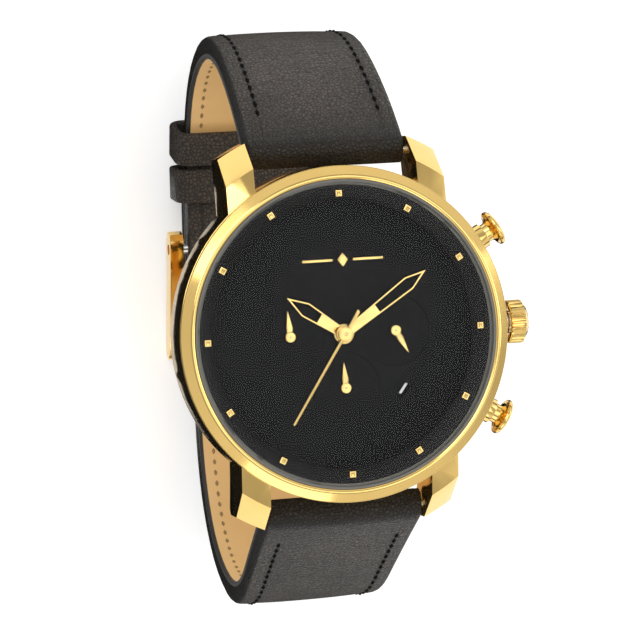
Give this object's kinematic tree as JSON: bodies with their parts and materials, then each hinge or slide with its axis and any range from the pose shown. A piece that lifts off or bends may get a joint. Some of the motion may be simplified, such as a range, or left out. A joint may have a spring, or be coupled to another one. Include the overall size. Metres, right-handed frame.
{
  "type": "chronograph wristwatch",
  "caption": "Round gold-cased quartz chronograph wristwatch with a black dial, three recessed counters, crown, two pushers and a closed grained leather strap with a pin buckle.",
  "frame": {"origin": "centre of the case back's flat face, on the hands' axis", "axes": "+Z out through the dial, +Y towards twelve o'clock, +X towards the crown at three o'clock"},
  "size_m": [0.049, 0.0817, 0.0602],
  "materials": {
    "gold_case": "polished gold plating",
    "gold_trim": "polished gold plating",
    "hand_gold": "polished and brushed",
    "crystal_glass": "clear mineral glass",
    "gasket_nylon": "translucent nylon",
    "gasket_rubber": "nitrile rubber",
    "dial_black": "matte black",
    "ring_black": "satin black",
    "movement_plastic": "moulded",
    "plate_metal": "nickel plated",
    "wheel_brass": "gilt",
    "rotor_dark": "magnet and steel arbor",
    "stator_metal": "soft magnetic alloy",
    "coil_copper": "enamelled wire winding",
    "board_green": "solder-masked board",
    "steel": "fine turned",
    "battery_steel": "plated cell",
    "leather_black": "grained calf leather",
    "leather_tan": "smooth lining leather"
  },
  "bodies": {
    "case": {"case_middle": "gold_case", "bezel": "gold_case", "case_back": "gold_case", "case_back_screws": "gold_case", "pusher_tubes": "gold_trim", "hour_markers": "hand_gold", "dial_ornament": "hand_gold", "crystal": "crystal_glass", "crystal_gasket": "gasket_nylon", "case_back_gasket": "gasket_rubber", "dial": "dial_black", "chapter_ring": "ring_black", "movement_ring": "movement_plastic", "main_plate": "plate_metal", "train_bridge": "plate_metal", "movement_screws": "steel", "crown_tube": "steel", "pusher_spring_2": "steel", "pusher_spring_4": "steel", "spring_bars": "steel", "buckle_bar": "steel", "quartz_can": "steel", "circuit_board": "board_green", "battery": "battery_steel", "motor_stators": "stator_metal", "motor_coils": "coil_copper", "strap_upper": "leather_black", "strap_lower": "leather_black", "fixed_keeper": "leather_black", "strap_linings": "leather_tan"},
    "minute_train": {"cannon_pinion": "wheel_brass", "minute_hand": "hand_gold"},
    "minute_wheel": {"minute_wheel": "wheel_brass"},
    "hour_train": {"hour_wheel": "wheel_brass", "hour_hand": "hand_gold"},
    "idler_wheel": {"idler_wheel": "wheel_brass"},
    "day_train": {"day_wheel": "wheel_brass", "day_hand": "hand_gold"},
    "seconds_train": {"fourth_wheel": "wheel_brass", "seconds_hand": "hand_gold"},
    "fifth_wheel": {"fifth_wheel": "wheel_brass"},
    "time_rotor": {"time_rotor": "rotor_dark"},
    "third_wheel": {"third_wheel": "wheel_brass"},
    "centre_wheel": {"centre_wheel": "wheel_brass"},
    "chrono_train": {"chrono_wheel": "wheel_brass", "chrono_hand": "hand_gold"},
    "chrono_idler": {"chrono_idler": "wheel_brass"},
    "chrono_rotor": {"chrono_rotor": "rotor_dark"},
    "counter_idler": {"counter_idler": "wheel_brass"},
    "counter_train": {"counter_wheel": "wheel_brass", "counter_hand": "hand_gold"},
    "date_disc": {"date_disc": "dial_black"},
    "crown_seal": {"crown_gasket": "gasket_rubber"},
    "crown": {"crown": "gold_trim", "winding_stem": "steel"},
    "pusher_2": {"pusher_2": "gold_trim"},
    "pusher_4": {"pusher_4": "gold_trim"},
    "free_keeper": {"free_keeper": "leather_black"},
    "buckle_frame": {"buckle_frame": "gold_trim"},
    "buckle_tongue": {"buckle_tongue": "gold_trim"}
  },
  "joints": [
    {"name": "minute_turn", "type": "hinge", "parent": "case", "child": "minute_train", "pos_m": [0, 0, 0.004], "axis": [0, 0, 1], "continuous": true},
    {"name": "minute_wheel_turn", "type": "hinge", "parent": "case", "child": "minute_wheel", "pos_m": [-0.00069, 0.00394, 0.004], "axis": [0, 0, 1], "continuous": true},
    {"name": "hour_turn", "type": "hinge", "parent": "case", "child": "hour_train", "pos_m": [0, 0, 0.004], "axis": [0, 0, 1], "continuous": true},
    {"name": "idler_turn", "type": "hinge", "parent": "case", "child": "idler_wheel", "pos_m": [0.00294, -0.00112, 0.004], "axis": [0, 0, 1], "continuous": true},
    {"name": "day_turn", "type": "hinge", "parent": "case", "child": "day_train", "pos_m": [0.0073, 0, 0.004], "axis": [0, 0, 1], "continuous": true},
    {"name": "seconds_turn", "type": "hinge", "parent": "case", "child": "seconds_train", "pos_m": [0, 0, 0.004], "axis": [0, 0, 1], "continuous": true},
    {"name": "fifth_turn", "type": "hinge", "parent": "case", "child": "fifth_wheel", "pos_m": [0.00261, 0.00311, 0.004], "axis": [0, 0, 1], "continuous": true},
    {"name": "time_rotor_turn", "type": "hinge", "parent": "case", "child": "time_rotor", "pos_m": [0.00405, 0.0056, 0.004], "axis": [0, 0, 1], "continuous": true},
    {"name": "third_turn", "type": "hinge", "parent": "case", "child": "third_wheel", "pos_m": [-0.00172, 0.0037, 0.004], "axis": [0, 0, 1], "continuous": true},
    {"name": "centre_turn", "type": "hinge", "parent": "case", "child": "centre_wheel", "pos_m": [0, 0, 0.004], "axis": [0, 0, 1], "continuous": true},
    {"name": "chrono_turn", "type": "hinge", "parent": "case", "child": "chrono_train", "pos_m": [0, -0.0073, 0.004], "axis": [0, 0, 1], "continuous": true},
    {"name": "chrono_idler_turn", "type": "hinge", "parent": "case", "child": "chrono_idler", "pos_m": [-0.00261, -0.01041, 0.004], "axis": [0, 0, 1], "continuous": true},
    {"name": "chrono_rotor_turn", "type": "hinge", "parent": "case", "child": "chrono_rotor", "pos_m": [-0.00545, -0.00991, 0.004], "axis": [0, 0, 1], "continuous": true},
    {"name": "counter_idler_turn", "type": "hinge", "parent": "case", "child": "counter_idler", "pos_m": [-0.00378, -0.005, 0.004], "axis": [0, 0, 1], "continuous": true},
    {"name": "counter_turn", "type": "hinge", "parent": "case", "child": "counter_train", "pos_m": [-0.0073, 0, 0.004], "axis": [0, 0, 1], "continuous": true},
    {"name": "date_turn", "type": "hinge", "parent": "case", "child": "date_disc", "pos_m": [0, 0, 0.004], "axis": [0, 0, 1], "continuous": true},
    {"name": "crown_pull", "type": "slide", "parent": "case", "child": "crown_seal", "axis": [1, 0, 0], "range_m": [0, 0.0009]},
    {"name": "crown_turn", "type": "hinge", "parent": "crown_seal", "child": "crown", "pos_m": [0.0235, 0, 0.0065], "axis": [1, 0, 0], "continuous": true},
    {"name": "pusher_2_press", "type": "slide", "parent": "case", "child": "pusher_2", "axis": [-0.866, -0.5, 0], "range_m": [0, 0.0008], "stiffness_N_per_m": 1500, "springref_m": -0.0008, "deforming": ["pusher_spring_2"]},
    {"name": "pusher_4_press", "type": "slide", "parent": "case", "child": "pusher_4", "axis": [-0.866, 0.5, 0], "range_m": [0, 0.0008], "stiffness_N_per_m": 1500, "springref_m": -0.0008, "deforming": ["pusher_spring_4"]},
    {"name": "keeper_slide", "type": "slide", "parent": "case", "child": "free_keeper", "axis": [0, -0.9903, -0.1392], "range_m": [0, 0.0026]},
    {"name": "buckle_hinge", "type": "hinge", "parent": "case", "child": "buckle_frame", "pos_m": [0, 0.01096, -0.04303], "axis": [1, 0, 0], "range_deg": [0, 4]},
    {"name": "tongue_hinge", "type": "hinge", "parent": "buckle_frame", "child": "buckle_tongue", "pos_m": [0, 0.01096, -0.04303], "axis": [1, 0, 0], "range_deg": [0, 4]}
  ],
  "couplings": [
    {"joint": "minute_wheel_turn", "follows": "minute_turn", "ratio": -0.33333},
    {"joint": "hour_turn", "follows": "minute_turn", "ratio": 0.083333},
    {"joint": "idler_turn", "follows": "minute_turn", "ratio": -0.0625},
    {"joint": "day_turn", "follows": "minute_turn", "ratio": 0.041667},
    {"joint": "fifth_turn", "follows": "seconds_turn", "ratio": -6},
    {"joint": "time_rotor_turn", "follows": "seconds_turn", "ratio": 30},
    {"joint": "third_turn", "follows": "seconds_turn", "ratio": -0.13333},
    {"joint": "centre_turn", "follows": "seconds_turn", "ratio": 0.016667},
    {"joint": "chrono_idler_turn", "follows": "chrono_turn", "ratio": -6},
    {"joint": "chrono_rotor_turn", "follows": "chrono_turn", "ratio": 30},
    {"joint": "counter_idler_turn", "follows": "chrono_turn", "ratio": -0.13333},
    {"joint": "counter_turn", "follows": "chrono_turn", "ratio": 0.016667}
  ]
}
